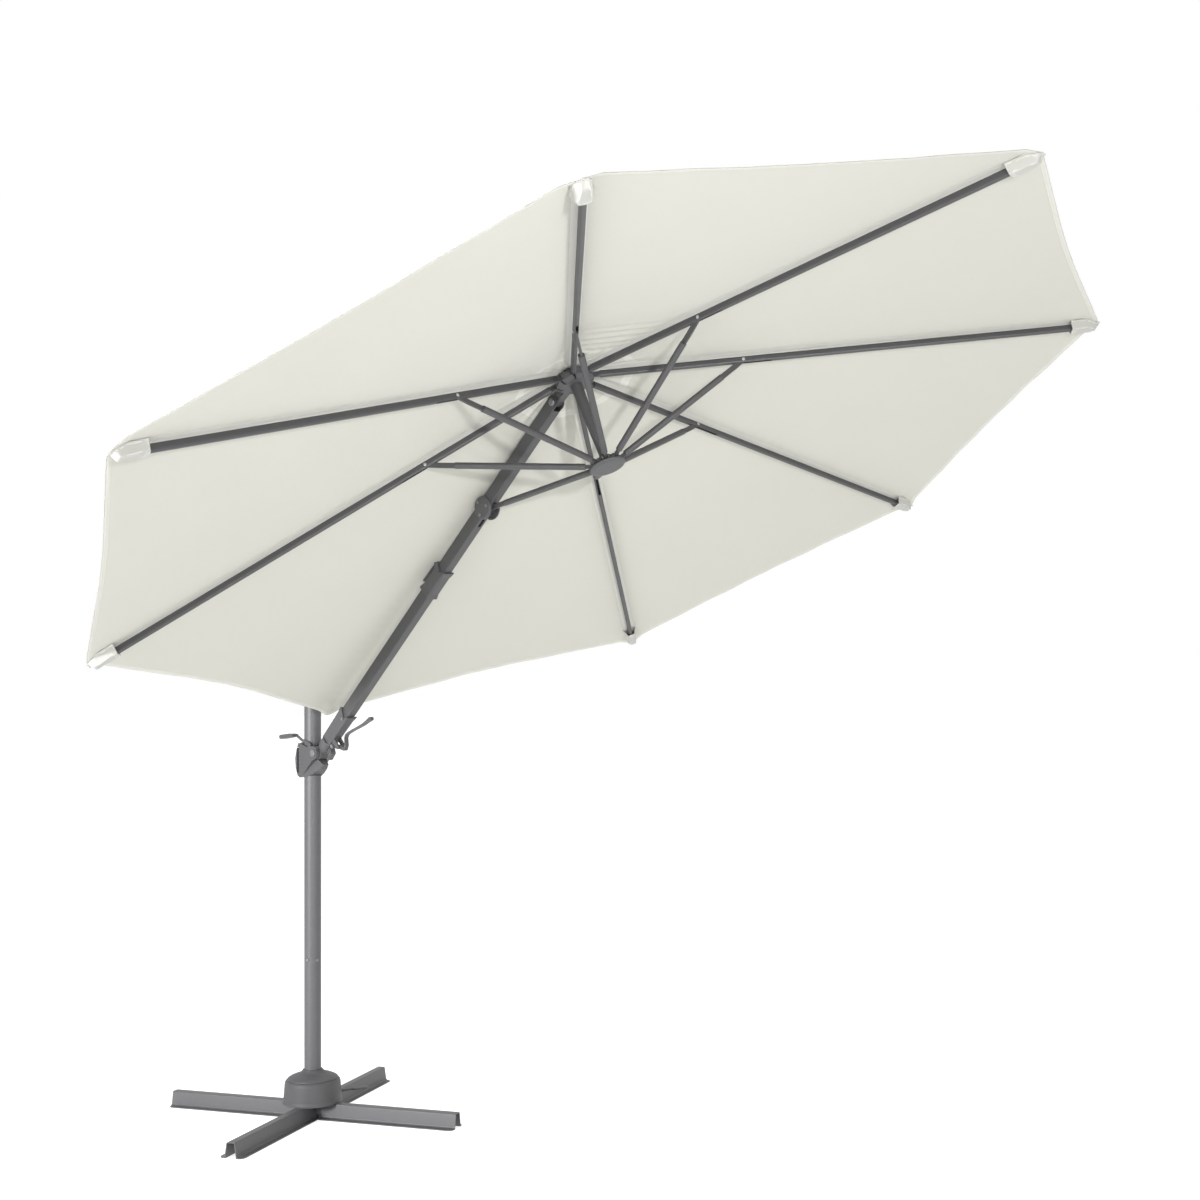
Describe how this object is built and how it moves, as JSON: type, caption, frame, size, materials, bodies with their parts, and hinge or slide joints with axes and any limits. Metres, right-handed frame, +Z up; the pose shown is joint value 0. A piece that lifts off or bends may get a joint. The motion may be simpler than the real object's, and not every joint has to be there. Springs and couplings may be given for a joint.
{
  "type": "cantilever parasol",
  "caption": "Cantilever garden parasol with a tilting, folding octagonal cloth canopy, carried by a boom on a mast with a cross base.",
  "frame": {"origin": "mast axis at floor level", "axes": "+Z up along the mast, +X towards the side the boom reaches over"},
  "size_m": [2.9711, 2.6655, 2.381],
  "materials": {
    "frame_steel": "satin powder coat",
    "frame_alu": "satin powder coat",
    "moulding": "fine matt texture",
    "canopy": "woven polyester",
    "bolts": "zinc plated",
    "bush": "plain bearing plastic"
  },
  "bodies": {
    "base": {"cross_leg_long": "frame_steel", "cross_leg_short": "frame_steel", "floor_pad": "bush", "base_plate": "frame_steel", "base_bolts": "bolts", "swivel_post": "frame_steel", "base_housing": "moulding", "base_dome": "moulding"},
    "pedal": {"foot_pedal": "moulding"},
    "mast": {"mast_lower": "frame_steel", "mast_upper": "frame_steel", "mast_coupling": "frame_steel", "mast_screws": "bolts", "mast_cap": "moulding", "mast_bushes": "bush", "index_ring": "frame_steel"},
    "carriage": {"carriage_body": "moulding", "carriage_bushes": "bush", "tilt_pin": "bolts"},
    "brake": {"carriage_lever": "moulding"},
    "elbow": {"elbow": "moulding"},
    "boom": {"boom_sleeve": "moulding", "sleeve_fasteners": "bolts", "boom_tube": "frame_alu", "bracket_shells": "moulding", "bracket_screws": "bolts", "bracket_pin": "bolts", "hub_bolt": "bolts", "canopy_panel_6": "canopy"},
    "clamp": {"clamp_lever": "moulding"},
    "collar": {"slide_collar": "moulding"},
    "trigger": {"collar_trigger": "moulding"},
    "hub": {"hub_body": "moulding", "rib_pins": "bolts", "hub_cap": "moulding", "stub_tube": "frame_alu"},
    "push": {"push_strut": "frame_alu"},
    "runner": {"runner_crown": "moulding", "runner_cap": "moulding"},
    "rib1": {"rib_1": "frame_alu", "canopy_panel_1": "canopy"},
    "strut1": {"strut_1": "frame_alu"},
    "rib2": {"rib_2": "frame_alu", "canopy_panel_2": "canopy"},
    "strut2": {"strut_2": "frame_alu"},
    "rib3": {"rib_3": "frame_alu", "canopy_panel_3": "canopy"},
    "strut3": {"strut_3": "frame_alu"},
    "rib4": {"rib_4": "frame_alu", "canopy_panel_4": "canopy"},
    "strut4": {"strut_4": "frame_alu"},
    "rib5": {"rib_5": "frame_alu", "canopy_panel_5": "canopy"},
    "strut5": {"strut_5": "frame_alu"},
    "rib7": {"rib_7": "frame_alu", "canopy_panel_7": "canopy"},
    "strut7": {"strut_7": "frame_alu"},
    "rib8": {"rib_8": "frame_alu", "canopy_panel_8": "canopy"},
    "strut8": {"strut_8": "frame_alu"}
  },
  "joints": [
    {"name": "mast_turn", "type": "hinge", "parent": "base", "child": "mast", "pos_m": [0, 0, 0.06], "axis": [0, 0, 1], "continuous": true},
    {"name": "pedal_press", "type": "hinge", "parent": "base", "child": "pedal", "pos_m": [0.0176, 0.06568, 0.067], "axis": [-0.9659, 0.2588, 0], "range_deg": [0, 12], "stiffness_Nm_per_rad": 6, "springref_deg": -5.73},
    {"name": "carriage_lift", "type": "slide", "parent": "mast", "child": "carriage", "axis": [0, 0, 1], "range_m": [-0.25, 0.85]},
    {"name": "boom_tilt", "type": "hinge", "parent": "carriage", "child": "elbow", "pos_m": [0.047, 0, 1.108], "axis": [0, 1, 0], "range_deg": [-15, 32]},
    {"name": "carriage_brake", "type": "hinge", "parent": "carriage", "child": "brake", "pos_m": [0.027, -0.025, 1.132], "axis": [0, 1, 0], "range_deg": [0, 25]},
    {"name": "boom_twist", "type": "hinge", "parent": "elbow", "child": "boom", "pos_m": [0.047, 0, 1.108], "axis": [0.7547, 0, 0.6561], "range_deg": [-24, 16]},
    {"name": "clamp_swing", "type": "hinge", "parent": "boom", "child": "clamp", "pos_m": [0.14407, 0.00335, 1.12894], "axis": [-0.0458, 0.9976, 0.0526], "range_deg": [0, 75]},
    {"name": "collar_slide", "type": "slide", "parent": "boom", "child": "collar", "axis": [0.7547, 0, 0.6561], "range_m": [-0.4, 0]},
    {"name": "trigger_press", "type": "hinge", "parent": "collar", "child": "trigger", "pos_m": [0.62726, -0.00202, 1.65074], "axis": [-0.0458, 0.9976, 0.0526], "range_deg": [-2.4, 0], "stiffness_Nm_per_rad": 0.4, "springref_deg": 5.73},
    {"name": "canopy_fold", "type": "hinge", "parent": "boom", "child": "hub", "pos_m": [1.11718, 0, 2.03829], "axis": [-0.0458, 0.9976, 0.0526], "range_deg": [0, 68], "deforming": ["canopy_panel_1", "canopy_panel_2", "canopy_panel_3", "canopy_panel_4", "canopy_panel_5", "canopy_panel_6", "canopy_panel_7", "canopy_panel_8"]},
    {"name": "push_swing", "type": "hinge", "parent": "boom", "child": "push", "pos_m": [0.84146, 0.0007, 1.7854], "axis": [-0.0458, 0.9976, 0.0526], "range_deg": [0, 132]},
    {"name": "runner_swing", "type": "hinge", "parent": "push", "child": "runner", "pos_m": [1.25582, 0.01608, 1.85418], "axis": [-0.0458, 0.9976, 0.0526], "range_deg": [-64, 0]},
    {"name": "rib1_fold", "type": "hinge", "parent": "hub", "child": "rib1", "pos_m": [1.21766, -0.03045, 2.09829], "axis": [0.6082, 0.719, 0.3364], "range_deg": [0, 69.5]},
    {"name": "strut1_fold", "type": "hinge", "parent": "rib1", "child": "strut1", "pos_m": [1.51255, -0.28709, 2.11366], "axis": [0.6082, 0.719, 0.3364], "range_deg": [-131, 0]},
    {"name": "rib2_fold", "type": "hinge", "parent": "hub", "child": "rib2", "pos_m": [1.22814, 0.00154, 2.10554], "axis": [-0.0458, 0.9976, 0.0526], "range_deg": [0, 69.5]},
    {"name": "strut2_fold", "type": "hinge", "parent": "rib2", "child": "strut2", "pos_m": [1.61155, 0.01509, 2.18215], "axis": [-0.0458, 0.9976, 0.0526], "range_deg": [-131, 0]},
    {"name": "rib3_fold", "type": "hinge", "parent": "hub", "child": "rib3", "pos_m": [1.21474, 0.03303, 2.10164], "axis": [-0.6729, 0.6918, -0.262], "range_deg": [0, 69.5]},
    {"name": "strut3_fold", "type": "hinge", "parent": "rib3", "child": "strut3", "pos_m": [1.48504, 0.31248, 2.1453], "axis": [-0.6729, 0.6918, -0.262], "range_deg": [-131, 0]},
    {"name": "rib4_fold", "type": "hinge", "parent": "hub", "child": "rib4", "pos_m": [1.18532, 0.04557, 2.08887], "axis": [-0.9059, -0.0192, -0.4231], "range_deg": [0, 69.5]},
    {"name": "strut4_fold", "type": "hinge", "parent": "rib4", "child": "strut4", "pos_m": [1.20711, 0.43088, 2.0247], "axis": [-0.9059, -0.0192, -0.4231], "range_deg": [-131, 0]},
    {"name": "rib5_fold", "type": "hinge", "parent": "hub", "child": "rib5", "pos_m": [1.15709, 0.03181, 2.07471], "axis": [-0.6082, -0.719, -0.3364], "range_deg": [0, 69.5]},
    {"name": "strut5_fold", "type": "hinge", "parent": "rib5", "child": "strut5", "pos_m": [0.94058, 0.30093, 1.89099], "axis": [-0.6082, -0.719, -0.3364], "range_deg": [-131, 0]},
    {"name": "rib7_fold", "type": "hinge", "parent": "hub", "child": "rib7", "pos_m": [1.16001, -0.03168, 2.07136], "axis": [0.6729, -0.6918, 0.262], "range_deg": [0, 69.5]},
    {"name": "strut7_fold", "type": "hinge", "parent": "rib7", "child": "strut7", "pos_m": [0.96808, -0.29865, 1.85935], "axis": [0.6729, -0.6918, 0.262], "range_deg": [-131, 0]},
    {"name": "rib8_fold", "type": "hinge", "parent": "hub", "child": "rib8", "pos_m": [1.18944, -0.04421, 2.08413], "axis": [0.9059, 0.0192, 0.4231], "range_deg": [0, 69.5]},
    {"name": "strut8_fold", "type": "hinge", "parent": "rib8", "child": "strut8", "pos_m": [1.24601, -0.41705, 1.97995], "axis": [0.9059, 0.0192, 0.4231], "range_deg": [-131, 0]}
  ],
  "couplings": [
    {"joint": "push_swing", "follows": "canopy_fold", "ratio": 1.938},
    {"joint": "runner_swing", "follows": "canopy_fold", "ratio": -0.938},
    {"joint": "collar_slide", "follows": "canopy_fold", "m_per_rad": -0.336},
    {"joint": "rib1_fold", "follows": "canopy_fold", "ratio": 1.0175},
    {"joint": "strut1_fold", "follows": "canopy_fold", "ratio": -1.9206},
    {"joint": "rib2_fold", "follows": "canopy_fold", "ratio": 1.0175},
    {"joint": "strut2_fold", "follows": "canopy_fold", "ratio": -1.9206},
    {"joint": "rib3_fold", "follows": "canopy_fold", "ratio": 1.0175},
    {"joint": "strut3_fold", "follows": "canopy_fold", "ratio": -1.9206},
    {"joint": "rib4_fold", "follows": "canopy_fold", "ratio": 1.0175},
    {"joint": "strut4_fold", "follows": "canopy_fold", "ratio": -1.9206},
    {"joint": "rib5_fold", "follows": "canopy_fold", "ratio": 1.0175},
    {"joint": "strut5_fold", "follows": "canopy_fold", "ratio": -1.9206},
    {"joint": "rib7_fold", "follows": "canopy_fold", "ratio": 1.0175},
    {"joint": "strut7_fold", "follows": "canopy_fold", "ratio": -1.9206},
    {"joint": "rib8_fold", "follows": "canopy_fold", "ratio": 1.0175},
    {"joint": "strut8_fold", "follows": "canopy_fold", "ratio": -1.9206}
  ]
}
